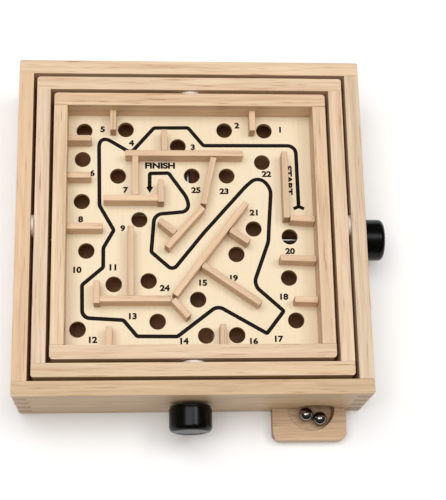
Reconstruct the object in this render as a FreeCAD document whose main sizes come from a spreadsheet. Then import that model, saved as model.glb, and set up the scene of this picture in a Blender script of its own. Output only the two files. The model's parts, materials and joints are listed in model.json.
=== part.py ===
import FreeCAD, Part
import os
import Sketcher

# Tilt maze game: a wooden box with two nested frames, a maze board in the inner one, a knob on
# the front that tilts the inner frame about Y and a knob on the right that tilts the outer
# frame about X. Millimetres. Origin: centre of the base, on the table. X to the right, Y to
# the back, Z up.

SIZES = {
    # box
    "box_side": 190.5,
    "box_height": 50.8,
    "box_wall": 8.0,
    "box_corner": 1.2,
    "finger_count": 9,
    "base_thickness": 2.5,
    # nested frames
    "frame_gap": 2.0,
    "rail_width": 7.5,
    "rail_height": 19.0,
    "gimbal_corner": 1.6,
    "tray_corner": 2.0,
    "pivot_height": 42.8,
    "pivot_pin_radius": 1.5,
    "pivot_pin_depth": 5.5,
    "pivot_pin_play": 0.3,
    "pivot_washer_radius": 6.2,
    "pivot_washer_thickness": 1.6,
    "running_clearance": 0.05,
    "notch_width": 9.0,
    "notch_depth": 3.0,
    # maze board
    "board_thickness": 3.0,
    "board_top": 35.2,
    "board_rabbet": 3.0,
    "hole_diameter": 9.0,
    "wall_thickness": 3.4,
    "wall_height": 9.2,
    # shafts and knobs
    "shaft_radius": 1.6,
    "front_shaft_x": -1.2,
    "front_shaft_z": 25.0,
    "side_shaft_y": -1.2,
    "side_shaft_z": 21.0,
    "shaft_end_depth": 5.0,
    "shaft_end_play": 0.3,
    "cut_overrun": 1.0,
    "knob_radius": 11.7,
    "knob_length": 13.9,
    "front_knob_gap": 1.6,
    "side_knob_gap": 0.4,
    "knob_edge": 2.9,
    "knob_foot": 0.6,
    "knob_bore_depth": 11.0,
    "ring_radius": 3.2,
    "ring_length": 3.0,
    "ring_play": 0.3,
    # drive cords
    "cord_radius": 0.4,
    "cord_turns": 3,
    "cord_offset": 12.0,
    "cord_free_end": 4.2,
    "hook_shank_radius": 0.7,
    "hook_shank_length": 1.4,
    "hook_ring_radius": 1.3,
    "hook_wire_radius": 0.5,
    "hook_inset": 3.75,
    "hook_cord_gap": 0.2,
    "spring_cord_gap": 0.1,
    "spring_radius": 1.6,
    "spring_length": 9.0,
    # sloping floor under the maze
    "floor_thickness": 1.5,
    "floor_edge_gap": 0.3,
    "floor_centre_height": 8.9,
    "floor_slope_angle": 2.07,
    "batten_width": 6.0,
    "batten_height": 1.6,
    # ball plate and outlet at the front right
    "plate_centre": 65.35,
    "plate_width": 41.0,
    "plate_reach": 17.6,
    "plate_thickness": 8.0,
    "plate_corner": 4.5,
    "scoop_centre": 66.0,
    "scoop_setback": 0.45,
    "scoop_radius": 12.8,
    "scoop_floor": 4.65,
    "scoop_tilt": 11.7,
    "outlet_centre": 69.2,
    "outlet_radius": 10.2,
    "ball_radius": 4.0,
    "left_ball_x": 63.4,
    "left_ball_y": -98.9,
    "left_ball_z": 9.39,
    "right_ball_x": 71.2,
    "right_ball_y": -101.0,
    "right_ball_z": 7.78,
}

# Centre of each numbered hole, from the middle of the board.
HOLES = {
    1: (42.3, 59.6),
    2: (19.6, 59.8),
    3: (-6.9, 49.9),
    4: (-36.2, 59.9),
    5: (-59.5, 59.0),
    6: (-60.3, 41.8),
    7: (-40.5, 31.9),
    8: (-60.5, 16.8),
    9: (-28.6, 6.2),
    10: (-57.7, -11.9),
    11: (-42.6, -31.0),
    12: (-61.9, -56.2),
    13: (-18.8, -52.0),
    14: (7.4, -59.9),
    15: (3.3, -39.7),
    16: (24.2, -59.7),
    17: (56.7, -51.6),
    18: (53.6, -27.5),
    19: (24.9, -13.9),
    20: (54.8, -3.7),
    21: (34.8, 0.9),
    22: (40.6, 40.4),
    23: (20.4, 32.2),
    24: (-23.6, -29.1),
    25: (0.8, 32.2),
}

# Centre line of each maze wall, end to end. Walls that share a node share its name.
TRAY_FACE = 68.25
WALLS = {
    "back_stub_walls": [(-43.2, 56.2, -43.2, TRAY_FACE), (34.9, 56.2, 34.9, TRAY_FACE)],
    "left_stub_walls": [
        (-TRAY_FACE, 51.2, -55.3, 51.2),
        (-TRAY_FACE, 29.3, -55.4, 29.3),
        (-TRAY_FACE, -0.4, -48.8, -0.4),
    ],
    "right_stub_walls": [(48.2, -18.4, 68.1, -19.2), (55.3, -41.9, 68.1, -42.3)],
    "front_stub_walls": [(-44.9, -TRAY_FACE, -44.9, -56.4), (16.1, -TRAY_FACE, 16.1, -55.6)],
    "back_short_wall": [(-14.8, 44.1, -14.8, 56.6)],
    "back_long_wall": [(-36.4, 42.4, 29.2, 42.4)],
    "finish_left_wall": [(-30.9, 17.6, -30.9, 40.7)],
    "finish_front_wall": [(-48.2, 15.9, -18.4, 15.9)],
    "finish_right_wall": [(-16.7, 13.6, -16.7, 26.8)],
    "left_long_wall": [(-33.4, -39.7, -33.4, -0.2)],
    "front_left_short_wall": [(-51.6, -43.9, -51.6, -31.2)],
    "front_left_long_wall": [(-49.9, -41.4, -11.8, -41.4)],
    "slanted_foot_wall": [(-10.4, -41.9, -2.1, -51.4)],
    "slanted_long_wall": [(-9.6, -39.4, 30.4, 13.5)],
    "slanted_front_branch_wall": [(5.9, -22.3, 36.9, -44.1)],
    "slanted_back_branch_wall": [(21.4, -2.2, 31.3, -9.2)],
    "centre_branch_wall": [(-17.7, 3.3, -9.0, -4.0)],
    "centre_slanted_wall": [(-13.7, -12.3, 6.3, 10.7)],
    "centre_steep_wall": [(12.7, 40.1, 6.6, 12.4)],
    "start_wall": [(52.5, 4.5, 52.5, 43.7)],
    "start_foot_wall": [(54.5, 4.5, 68.1, 3.7)],
}

X = FreeCAD.Vector(1, 0, 0)
Y = FreeCAD.Vector(0, 1, 0)
Z = FreeCAD.Vector(0, 0, 1)
ALONG = {
    "+X": FreeCAD.Rotation(Z, X),
    "-X": FreeCAD.Rotation(Z, -X),
    "+Y": FreeCAD.Rotation(Z, Y),
    "-Y": FreeCAD.Rotation(Z, -Y),
    "+Z": FreeCAD.Rotation(),
    "-Z": FreeCAD.Rotation(Z, -Z),
}

document = FreeCAD.newDocument("tilt_maze")
sheet = document.addObject("Spreadsheet::Sheet", "dims")
pieces = []


def fill_sheet():
    """Put every driving size, hole centre and wall end in a cell with an alias."""
    rows = dict(SIZES)
    for number, (x, y) in HOLES.items():
        rows[f"hole_{number}_across"] = x
        rows[f"hole_{number}_back"] = y
    for name, strips in WALLS.items():
        for index, ends in enumerate(strips):
            for part, value in zip(("from_x", "from_y", "to_x", "to_y"), ends):
                rows[f"{name}_{index}_{part}"] = value
    for row, (alias, value) in enumerate(rows.items(), start=1):
        sheet.set(f"A{row}", alias)
        sheet.set(f"B{row}", str(value))
        sheet.setAlias(f"B{row}", alias)
    document.recompute()


def value(expression):
    """What an expression on the sheet gives, as a plain number."""
    found = sheet.evalExpression(expression)
    return float(getattr(found, "Value", found))


def bind(thing, bindings):
    """Bind properties of an object to expressions."""
    for path, expression in bindings.items():
        thing.setExpression(path, expression)


def place(thing, x, y, z):
    """Bind an object's position."""
    bind(thing, {"Placement.Base.x": x, "Placement.Base.y": y, "Placement.Base.z": z})


def keep(thing, name):
    """Mark an object as a finished piece of the game, under the name of its node."""
    thing.Label = name
    if thing.Label != name:
        raise RuntimeError(f"the name {name} is taken")
    pieces.append(thing)
    return thing


def block(name, low, size):
    """Rectangular block from its low corner and its size, three expressions each."""
    made = document.addObject("Part::Box", name)
    place(made, *low)
    bind(made, dict(zip(("Length", "Width", "Height"), size)))
    return made


def rod(name, start, direction, radius, length):
    """Round bar that runs from a point along one of the six main directions."""
    made = document.addObject("Part::Cylinder", name)
    made.Placement.Rotation = ALONG[direction]
    place(made, *start)
    bind(made, {"Radius": radius, "Height": length})
    return made


def tube(name, start, direction, inner, outer, length):
    """Round bar with a round hole through it."""
    bar = rod(f"{name}_outside", start, direction, outer, length)
    hole = rod(f"{name}_inside", start, direction, inner, length)
    return cut(name, bar, hole)


def cut(name, base, *tools):
    """One object with others taken out of it."""
    made = document.addObject("Part::Cut", name)
    made.Base = base
    made.Tool = tools[0] if len(tools) == 1 else fuse(f"{name}_tools", *tools)
    return made


def fuse(name, *shapes):
    """Several objects joined into one."""
    made = document.addObject("Part::MultiFuse", name)
    made.Shapes = list(shapes)
    return made


def group(name, *shapes):
    """Several like solids that stay separate but share a node."""
    made = document.addObject("Part::Compound", name)
    made.Links = list(shapes)
    return made


def sketch_on(body, role, name):
    """Empty sketch on one of a body's own origin planes."""
    made = body.newObject("Sketcher::SketchObject", name)
    plane = next(feature for feature in body.Origin.OriginFeatures if feature.Role == role)
    made.AttachmentSupport = [(plane, "")]
    made.MapMode = "FlatFace"
    return made


def pin_point(sketch, geometry, position, across, up):
    """Hold one point of a sketch at two expressions, measured from the sketch's origin."""
    for kind, axis, expression in (("DistanceX", -2, across), ("DistanceY", -1, up)):
        distance = value(expression)
        if abs(distance) < 1e-9:
            sketch.addConstraint(Sketcher.Constraint("PointOnObject", geometry, position, axis))
            continue
        ends = (-1, 1, geometry, position) if distance > 0 else (geometry, position, -1, 1)
        signed = expression if distance > 0 else f"-({expression})"
        index = sketch.addConstraint(Sketcher.Constraint(kind, *ends, abs(distance)))
        sketch.setExpression(f"Constraints[{index}]", signed)


def outline(sketch, points):
    """Closed outline with straight sides; each corner is two expressions."""
    corners = [FreeCAD.Vector(value(across), value(up), 0) for across, up in points]
    first = sketch.GeometryCount
    count = len(points)
    for index, corner in enumerate(corners):
        sketch.addGeometry(Part.LineSegment(corner, corners[(index + 1) % count]))
    for index in range(count):
        following = first + (index + 1) % count
        sketch.addConstraint(Sketcher.Constraint("Coincident", first + index, 2, following, 1))
    for index, (across, up) in enumerate(points):
        pin_point(sketch, first + index, 1, across, up)


def rectangle(sketch, left, low, right, high):
    """Closed rectangle between four expressions."""
    outline(sketch, [(left, low), (right, low), (right, high), (left, high)])


def circle(sketch, across, up, diameter):
    """Circle in a sketch, its centre and diameter bound to expressions."""
    centre = FreeCAD.Vector(value(across), value(up), 0)
    round_ = Part.Circle(centre, Z, value(diameter) / 2)
    geometry = sketch.addGeometry(round_)
    pin_point(sketch, geometry, 3, across, up)
    index = sketch.addConstraint(Sketcher.Constraint("Diameter", geometry, value(diameter)))
    sketch.setExpression(f"Constraints[{index}]", diameter)


def pad(body, sketch, length, name):
    """Extrude a sketch along its own normal."""
    made = body.newObject("PartDesign::Pad", name)
    made.Profile = sketch
    made.setExpression("Length", length)
    document.recompute()
    return made


def pocket(body, sketch, name):
    """Cut a sketch's outline through the whole body, both ways."""
    before = body.Shape.Volume
    made = body.newObject("PartDesign::Pocket", name)
    made.Profile = sketch
    made.Type = "ThroughAll"
    made.SideType = "Symmetric"
    document.recompute()
    if made.Shape.Volume > before - 1e-3:
        raise RuntimeError(f"{name} cuts nothing")
    return made


def round_edges(body, radius, chosen, name):
    """Round the body's edges that a test picks."""
    tip = body.Tip
    names = [f"Edge{i}" for i, edge in enumerate(tip.Shape.Edges, start=1) if chosen(edge)]
    if not names:
        raise RuntimeError(f"{name} finds no edge")
    made = body.newObject("PartDesign::Fillet", name)
    made.Base = (tip, names)
    made.setExpression("Radius", radius)
    document.recompute()
    return made


def is_upright_at(edge, corners):
    """True for a vertical edge that stands on one of some plan points."""
    box = edge.BoundBox
    if box.XLength > 1e-3 or box.YLength > 1e-3:
        return False
    return any(abs(box.XMin - x) < 1e-3 and abs(box.YMin - y) < 1e-3 for x, y in corners)


# Half sizes of the nested squares, outside in, and levels that many pieces share.
BOX_HALF = "dims.box_side / 2"
ROOM_HALF = "(dims.box_side / 2 - dims.box_wall)"
GIMBAL_HALF = f"({ROOM_HALF} - dims.frame_gap)"
GIMBAL_FACE = f"({GIMBAL_HALF} - dims.rail_width)"
TRAY_HALF = f"({GIMBAL_FACE} - dims.frame_gap)"
TRAY_INNER = f"({TRAY_HALF} - dims.rail_width)"
RAIL_BOTTOM = "(dims.box_height - dims.rail_height)"
BOARD_BOTTOM = "(dims.board_top - dims.board_thickness)"
FINGER = "(dims.box_height / dims.finger_count)"


def strip_body(name, low, size, corners, radius):
    """Wooden strip as a body, with the upright edges at some plan points rounded."""
    body = document.addObject("PartDesign::Body", name)
    plan = sketch_on(body, "XY_Plane", f"{name}_plan")
    rectangle(plan, low[0], low[1], f"{low[0]} + {size[0]}", f"{low[1]} + {size[1]}")
    pad(body, plan, size[2], f"{name}_pad")
    body.setExpression("Placement.Base.z", low[2])
    document.recompute()
    spots = [(value(x), value(y)) for x, y in corners]
    if spots:
        round_edges(body, radius, lambda edge: is_upright_at(edge, spots), f"{name}_corners")
    return body


def cut_fingers(body, role, first, across_low, across_high):
    """Notch both ends of a panel, one finger high and one finger apart, from a given level."""
    count = int(value("dims.finger_count"))
    right_end = (across_low, across_high)
    left_end = (f"-({across_high})", f"-({across_low})")
    for level in range(first, count, 2):
        for side, (low, high) in enumerate((right_end, left_end)):
            notch = sketch_on(body, role, f"{body.Name}_notch_{level}_{side}")
            rectangle(notch, low, f"{level} * {FINGER}", high, f"{level + 1} * {FINGER}")
            pocket(body, notch, f"{body.Name}_finger_gap_{level}_{side}")


def make_front_and_back():
    """Front and back panels: full width, notched for the side panels' fingers."""
    made = {}
    for name, side in (("front_panel", -1), ("back_panel", 1)):
        low_y = f"-{BOX_HALF}" if side < 0 else ROOM_HALF
        outer = f"-{BOX_HALF}" if side < 0 else BOX_HALF
        corners = ((f"-{BOX_HALF}", outer), (BOX_HALF, outer))
        low = (f"-{BOX_HALF}", low_y, "0")
        size = ("dims.box_side", "dims.box_wall", "dims.box_height")
        body = strip_body(f"{name}_blank", low, size, corners, "dims.box_corner")
        cut_fingers(body, "XZ_Plane", 1, ROOM_HALF, f"{BOX_HALF} + dims.cut_overrun")
        made[name] = body
    front = made["front_panel"]
    way_out = sketch_on(front, "XZ_Plane", "plate_slot")
    left = "dims.plate_centre - dims.plate_width / 2"
    right = "dims.plate_centre + dims.plate_width / 2"
    rectangle(way_out, left, "-dims.cut_overrun", right, "dims.plate_thickness")
    pocket(front, way_out, "plate_slot_cut")
    arch = sketch_on(front, "XZ_Plane", "outlet_arch")
    circle(arch, "dims.outlet_centre", "dims.plate_thickness", "2 * dims.outlet_radius")
    pocket(front, arch, "outlet_arch_cut")
    bearing = sketch_on(front, "XZ_Plane", "front_bearing")
    diameter = "2 * (dims.shaft_radius + dims.running_clearance)"
    circle(bearing, "dims.front_shaft_x", "dims.front_shaft_z", diameter)
    pocket(front, bearing, "front_bearing_cut")
    keep(front, "front_panel")
    blind = rod("front_shaft_socket", ("dims.front_shaft_x", ROOM_HALF, "dims.front_shaft_z"), "+Y",
                "dims.shaft_radius + dims.running_clearance",
                "dims.shaft_end_depth + dims.shaft_end_play")
    keep(cut("back_panel_bored", made["back_panel"], blind), "back_panel")


def make_sides():
    """Left and right panels: their fingers fill the notches; they carry the outer pivots."""
    for name, side in (("left_panel", -1), ("right_panel", 1)):
        low_x = f"-{BOX_HALF}" if side < 0 else ROOM_HALF
        outer = f"-{BOX_HALF}" if side < 0 else BOX_HALF
        corners = ((outer, f"-{BOX_HALF}"), (outer, BOX_HALF))
        low = (low_x, f"-{BOX_HALF}", "0")
        size = ("dims.box_wall", "dims.box_side", "dims.box_height")
        body = strip_body(f"{name}_blank", low, size, corners, "dims.box_corner")
        cut_fingers(body, "YZ_Plane", 0, ROOM_HALF, f"{BOX_HALF} + dims.cut_overrun")
        inner = f"-{ROOM_HALF}" if side < 0 else ROOM_HALF
        way = "-X" if side < 0 else "+X"
        pin_socket = rod(f"{name}_pin_socket", (inner, "0", "dims.pivot_height"), way,
                         "dims.pivot_pin_radius", "dims.pivot_pin_depth")
        blind_depth = "dims.shaft_end_depth + dims.shaft_end_play"
        depth = blind_depth if side < 0 else "dims.box_wall + dims.cut_overrun"
        shaft_hole = rod(f"{name}_shaft_hole", (inner, "dims.side_shaft_y", "dims.side_shaft_z"), way,
                         "dims.shaft_radius + dims.running_clearance", depth)
        keep(cut(f"{name}_bored", body, pin_socket, shaft_hole), name)


def make_floor():
    """Flat base board, the sloping floor that the balls roll down, and its battens."""
    room = f"2 * {ROOM_HALF}"
    low = (f"-{ROOM_HALF}", f"-{ROOM_HALF}", "0")
    base = block("base_blank", low, (room, room, "dims.base_thickness"))
    keep(base, "base_board")
    floor = document.addObject("PartDesign::Body", "floor_body")
    plan = sketch_on(floor, "XY_Plane", "floor_plan")
    edge = f"({ROOM_HALF} - dims.floor_edge_gap)"
    rectangle(plan, f"-{edge}", f"-{edge}", edge, edge)
    pad(floor, plan, "dims.floor_thickness", "floor_pad")
    floor.Placement.Rotation = FreeCAD.Rotation(FreeCAD.Vector(1, 1, 0), 1)
    floor.setExpression("Placement.Rotation.Angle", "dims.floor_slope_angle")
    floor.setExpression("Placement.Base.z", "dims.floor_centre_height - dims.floor_thickness")
    keep(floor, "sloping_floor")
    battens = []
    for name, x in (("left", f"-{ROOM_HALF}"), ("right", f"{ROOM_HALF} - dims.batten_width")):
        size = ("dims.batten_width", f"{ROOM_HALF}", "dims.batten_height")
        battens.append(block(f"{name}_batten", (x, "0", "dims.base_thickness"), size))
    keep(group("batten_pair", *battens), "floor_battens")


def make_ball_plate():
    """Plate at the front right with a tilted round scoop that the balls roll into."""
    body = document.addObject("PartDesign::Body", "plate_body")
    plan = sketch_on(body, "XY_Plane", "plate_plan")
    half = "dims.plate_width / 2"
    left = f"dims.plate_centre - {half}"
    right = f"dims.plate_centre + {half}"
    front = f"-({BOX_HALF} + dims.plate_reach)"
    rectangle(plan, left, front, right, f"-{ROOM_HALF}")
    pad(body, plan, "dims.plate_thickness", "plate_pad")
    spots = [(value(left), value(front)), (value(right), value(front))]
    round_edges(body, "dims.plate_corner", lambda edge: is_upright_at(edge, spots), "plate_corners")
    scoop = document.addObject("Part::Cylinder", "scoop_tool")
    scoop.Placement.Rotation = FreeCAD.Rotation(Y, 1)
    scoop.setExpression("Placement.Rotation.Angle", "dims.scoop_tilt")
    place(scoop, "dims.scoop_centre", f"-{BOX_HALF} + dims.scoop_setback", "dims.scoop_floor")
    bind(scoop, {"Radius": "dims.scoop_radius", "Height": "2 * dims.plate_thickness"})
    keep(cut("plate_scooped", body, scoop), "ball_plate")


def make_rails(frame, outer, inner, sockets):
    """Four rails of one frame: front and back run full width, the sides butt between them."""
    width = "dims.rail_width"
    height = "dims.rail_height"
    long_size = (f"2 * {outer}", width, height)
    side_size = (width, f"2 * {inner}", height)
    for name, y, edge in (("front", f"-{outer}", f"-{outer}"), ("back", inner, outer)):
        corners = ((f"-{outer}", edge), (outer, edge))
        low = (f"-{outer}", y, RAIL_BOTTOM)
        body = strip_body(f"{frame}_{name}", low, long_size, corners, f"dims.{frame}_corner")
        notch = block(f"{frame}_{name}_notch",
                      ("dims.front_shaft_x - dims.notch_width / 2", y, RAIL_BOTTOM),
                      ("dims.notch_width", width, "dims.notch_depth"))
        keep(cut(f"{frame}_{name}_cut", body, notch, *sockets[name]), f"{frame}_{name}_rail")
    for name, x in (("left", f"-{outer}"), ("right", inner)):
        strip = block(f"{frame}_{name}", (x, f"-{inner}", RAIL_BOTTOM), side_size)
        tools = sockets[name]
        made = cut(f"{frame}_{name}_cut", strip, *tools) if tools else strip
        keep(made, f"{frame}_{name}_rail")


def pivot_sockets(frame, side, face, direction, radius):
    """Round socket in a rail for a pivot pin, from the rail's face inwards."""
    axis_is_x = direction in ("+X", "-X")
    start = (face, "0", "dims.pivot_height") if axis_is_x else ("0", face, "dims.pivot_height")
    return rod(f"{frame}_{side}_socket", start, direction, radius, "dims.pivot_pin_depth")


def make_gimbal():
    """Middle frame: turns about X on pins from the box, holds the tray's pins front and back."""
    loose = "dims.pivot_pin_radius + dims.running_clearance"
    tight = "dims.pivot_pin_radius"
    sockets = {
        "left": [pivot_sockets("gimbal", "left", f"-{GIMBAL_HALF}", "+X", loose)],
        "right": [pivot_sockets("gimbal", "right", GIMBAL_HALF, "-X", loose)],
        "front": [pivot_sockets("gimbal", "front", f"-{GIMBAL_FACE}", "-Y", tight)],
        "back": [pivot_sockets("gimbal", "back", GIMBAL_FACE, "+Y", tight)],
    }
    make_rails("gimbal", GIMBAL_HALF, GIMBAL_FACE, sockets)


def make_tray():
    """Inner frame with a rabbet under its rails for the maze board."""
    loose = "dims.pivot_pin_radius + dims.running_clearance"
    reach = f"({TRAY_INNER} + dims.board_rabbet)"
    size = (f"2 * {reach}", f"2 * {reach}", f"dims.board_top - {RAIL_BOTTOM}")
    rabbets = {}
    for side in ("left", "right", "front", "back"):
        rabbets[side] = [block(f"tray_{side}_rabbet", (f"-{reach}", f"-{reach}", RAIL_BOTTOM), size)]
    rabbets["front"].append(pivot_sockets("tray", "front", f"-{TRAY_HALF}", "+Y", loose))
    rabbets["back"].append(pivot_sockets("tray", "back", TRAY_HALF, "-Y", loose))
    make_rails("tray", TRAY_HALF, TRAY_INNER, rabbets)


def make_pivots():
    """Steel pins and plastic spacer washers in the gaps at the four pivots."""
    length = "2 * dims.pivot_pin_depth + dims.frame_gap - dims.pivot_pin_play"
    spots = {
        "gimbal": (("left", f"-{ROOM_HALF}", "+X"), ("right", ROOM_HALF, "-X")),
        "tray": (("front", f"-{GIMBAL_FACE}", "+Y"), ("back", GIMBAL_FACE, "-Y")),
    }
    for frame, sides in spots.items():
        pins = []
        washers = []
        for side, face, way in sides:
            sign = "-" if way[0] == "+" else "+"
            end = f"{face} {sign} dims.pivot_pin_depth"
            start = (end, "0", "dims.pivot_height")
            wash = (face, "0", "dims.pivot_height")
            if way[1] == "Y":
                start = ("0", end, "dims.pivot_height")
                wash = ("0", face, "dims.pivot_height")
            pins.append(rod(f"{frame}_{side}_pin", start, way, "dims.pivot_pin_radius", length))
            washers.append(tube(f"{frame}_{side}_washer", wash, way, "dims.pivot_pin_radius",
                                "dims.pivot_washer_radius", "dims.pivot_washer_thickness"))
        keep(group(f"{frame}_pins", *pins), f"{frame}_pivot_pins")
        keep(group(f"{frame}_washers", *washers), f"{frame}_pivot_washers")


def make_maze_board():
    """Thin board with 25 round holes, let into the tray's rabbet."""
    body = document.addObject("PartDesign::Body", "board_body")
    plan = sketch_on(body, "XY_Plane", "board_plan")
    reach = f"({TRAY_INNER} + dims.board_rabbet)"
    rectangle(plan, f"-{reach}", f"-{reach}", reach, reach)
    pad(body, plan, "dims.board_thickness", "board_pad")
    holes = sketch_on(body, "XY_Plane", "hole_centres")
    for number in HOLES:
        circle(holes, f"dims.hole_{number}_across", f"dims.hole_{number}_back", "dims.hole_diameter")
    pocket(body, holes, "board_holes")
    body.setExpression("Placement.Base.z", BOARD_BOTTOM)
    keep(body, "maze_board")


def wall_strip(name):
    """One maze wall: a strip centred on the line between its two ends."""
    ends = {part: f"dims.{name}_{part}" for part in ("from_x", "from_y", "to_x", "to_y")}
    run_x = f"({ends['to_x']} - {ends['from_x']})"
    run_y = f"({ends['to_y']} - {ends['from_y']})"
    angle = f"atan2({run_y}; {run_x})"
    strip = document.addObject("Part::Box", f"{name}_strip")
    strip.Placement.Rotation = FreeCAD.Rotation(Z, 1)
    strip.setExpression("Placement.Rotation.Angle", angle)
    half = "dims.wall_thickness / 2"
    place(strip, f"{ends['from_x']} + {half} * sin({angle})",
          f"{ends['from_y']} - {half} * cos({angle})", "dims.board_top")
    length = f"sqrt({run_x} * {run_x} + {run_y} * {run_y})"
    bind(strip, {"Length": length, "Width": "dims.wall_thickness", "Height": "dims.wall_height"})
    return strip


def make_walls():
    """Maze walls on the board; short stubs on one side of the tray share a node."""
    for name, strips in WALLS.items():
        made = [wall_strip(f"{name}_{index}") for index in range(len(strips))]
        keep(group(f"{name}_group", *made) if len(made) > 1 else made[0], name)


def make_knob(name, direction, x, y, z):
    """Round knob with an eased outer edge and a blind bore for its shaft."""
    body = document.addObject("PartDesign::Body", f"{name}_body")
    profile = sketch_on(body, "XZ_Plane", f"{name}_profile")
    outline(profile, [
        ("0", "dims.knob_bore_depth"),
        ("dims.shaft_radius", "dims.knob_bore_depth"),
        ("dims.shaft_radius", "0"),
        ("dims.knob_radius", "0"),
        ("dims.knob_radius", "dims.knob_length"),
        ("0", "dims.knob_length"),
    ])
    turned = body.newObject("PartDesign::Revolution", f"{name}_turned")
    turned.Profile = profile
    turned.ReferenceAxis = (profile, ["V_Axis"])
    turned.Angle = 360
    document.recompute()

    def is_rim(edge, height):
        box = edge.BoundBox
        wide = box.XLength > 2 * value("dims.knob_radius") - 1e-3
        return wide and box.ZLength < 1e-3 and abs(box.ZMin - height) < 1e-3

    length = value("dims.knob_length")
    round_edges(body, "dims.knob_edge", lambda edge: is_rim(edge, length), f"{name}_outer_edge")
    round_edges(body, "dims.knob_foot", lambda edge: is_rim(edge, 0), f"{name}_foot")
    body.Placement.Rotation = ALONG[direction]
    place(body, x, y, z)
    keep(body, name)


def make_drives():
    """Knobs with their steel shafts, retaining rings and the turns of cord round each shaft."""
    front_reach = f"({BOX_HALF} + dims.front_knob_gap)"
    side_reach = f"({BOX_HALF} + dims.side_knob_gap)"
    inner_length = f"dims.knob_bore_depth + {ROOM_HALF} + dims.shaft_end_depth"
    turns = "2 * dims.cord_turns * dims.cord_radius"
    wrap = "dims.shaft_radius + 2 * dims.cord_radius"
    front = ("dims.front_shaft_x", "dims.front_shaft_z")
    side = ("dims.side_shaft_y", "dims.side_shaft_z")
    make_knob("front_knob", "-Y", front[0], f"-{front_reach}", front[1])
    make_knob("side_knob", "+X", side_reach, side[0], side[1])
    front_start = (front[0], f"-({front_reach} + dims.knob_bore_depth)", front[1])
    side_start = (f"{side_reach} + dims.knob_bore_depth", side[0], side[1])
    keep(rod("front_rod", front_start, "+Y", "dims.shaft_radius",
             f"{front_reach} + {inner_length}"), "front_shaft")
    keep(rod("side_rod", side_start, "-X", "dims.shaft_radius",
             f"{side_reach} + {inner_length}"), "side_shaft")
    inside = f"({ROOM_HALF} - dims.ring_play)"
    keep(tube("front_ring", (front[0], f"-{inside}", front[1]), "+Y", "dims.shaft_radius",
              "dims.ring_radius", "dims.ring_length"), "front_shaft_ring")
    keep(tube("side_ring", (inside, side[0], side[1]), "-X", "dims.shaft_radius",
              "dims.ring_radius", "dims.ring_length"), "side_shaft_ring")
    start = f"dims.cord_offset - ({turns}) / 2"
    keep(tube("front_turns", (front[0], start, front[1]), "+Y", "dims.shaft_radius", wrap, turns),
         "front_cord_turns")
    keep(tube("side_turns", (start, side[0], side[1]), "+X", "dims.shaft_radius", wrap, turns),
         "side_cord_turns")


def slanted(name, axis, start, run, rise, radius, length):
    """Round bar in the upright plane across an axis: run is level, rise is up."""
    made = document.addObject("Part::Cylinder", name)
    made.Placement.Rotation = FreeCAD.Rotation(axis, 1)
    level = run if axis == Y else f"-({run})"
    made.setExpression("Placement.Rotation.Angle", f"atan2({level}; {rise})")
    place(made, *start)
    bind(made, {"Radius": radius, "Height": length})
    return made


def make_cord(frame, axis, anchor, shaft_across, shaft_height):
    """Drive cord of one frame: a hook under each rail, a strand to the shaft from each side,
    and a tension spring beside one hook."""
    hook_z = f"({RAIL_BOTTOM} - dims.hook_shank_length - dims.hook_ring_radius)"
    cord_z = f"({shaft_height} - dims.shaft_radius - dims.cord_radius)"
    hooks = []
    strands = []

    def spot(level, height):
        if axis == Y:
            return (level, "dims.cord_offset", height)
        return ("dims.cord_offset", level, height)

    rise = f"({hook_z} - {cord_z})"
    for index, sign in enumerate(("", "-")):
        hook_at = f"{sign}{anchor}"
        shank = rod(f"{frame}_shank_{index}", spot(hook_at, RAIL_BOTTOM), "-Z", "dims.hook_shank_radius",
                    "dims.hook_shank_length + dims.hook_wire_radius")
        ring = document.addObject("Part::Torus", f"{frame}_eye_{index}")
        ring.Placement.Rotation = ALONG["+Y" if axis == Y else "+X"]
        place(ring, *spot(hook_at, hook_z))
        bind(ring, {"Radius1": "dims.hook_ring_radius", "Radius2": "dims.hook_wire_radius"})
        hooks.append(fuse(f"{frame}_hook_{index}", shank, ring))
        run = f"({hook_at} - {shaft_across})"
        full = f"sqrt({run} * {run} + {rise} * {rise})"
        skip = f"(dims.cord_free_end / {full})"
        start = spot(f"{shaft_across} + {run} * {skip}", f"{cord_z} + {rise} * {skip}")
        eye = "dims.hook_ring_radius + dims.hook_wire_radius + dims.hook_cord_gap"
        clear = f"(dims.cord_free_end + {eye})"
        spring = "(dims.spring_length + dims.spring_cord_gap)" if index == 0 else "0"
        strand = slanted(f"{frame}_strand_{index}", axis, start, run, rise, "dims.cord_radius",
                         f"{full} - {clear} - {spring}")
        strands.append(strand)
        if index == 0:
            along = f"(({full} - {clear} + dims.cord_free_end - dims.spring_length) / {full})"
            seat = spot(f"{shaft_across} + {run} * {along}", f"{cord_z} + {rise} * {along}")
            coil = slanted(f"{frame}_coil", axis, seat, run, rise, "dims.spring_radius",
                           "dims.spring_length")
            keep(coil, f"{frame}_cord_spring")
    keep(group(f"{frame}_hooks", *hooks), f"{frame}_cord_hooks")
    keep(group(f"{frame}_strands", *strands), f"{frame}_drive_cord")


def make_balls():
    """The two steel balls, lying in the scoop."""
    for side in ("left", "right"):
        ball = document.addObject("Part::Sphere", f"{side}_sphere")
        ball.setExpression("Radius", "dims.ball_radius")
        place(ball, *(f"dims.{side}_ball_{axis}" for axis in "xyz"))
        keep(ball, f"{side}_ball")


def write_pieces():
    """Check every object and every piece, then write one STEP file for each piece."""
    document.recompute()
    for thing in document.Objects:
        faults = [state for state in thing.State if state in ("Invalid", "Error")]
        if faults:
            raise RuntimeError(f"{thing.Name} is {faults}")
    for piece in pieces:
        shape = piece.Shape
        if shape.isNull() or not shape.isValid() or not shape.Solids:
            raise RuntimeError(f"{piece.Label} has no sound shape")
    os.makedirs("parts", exist_ok=True)
    for piece in pieces:
        piece.Shape.exportStep(f"parts/{piece.Label}.step")
    print(len(pieces), "pieces written")


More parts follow.
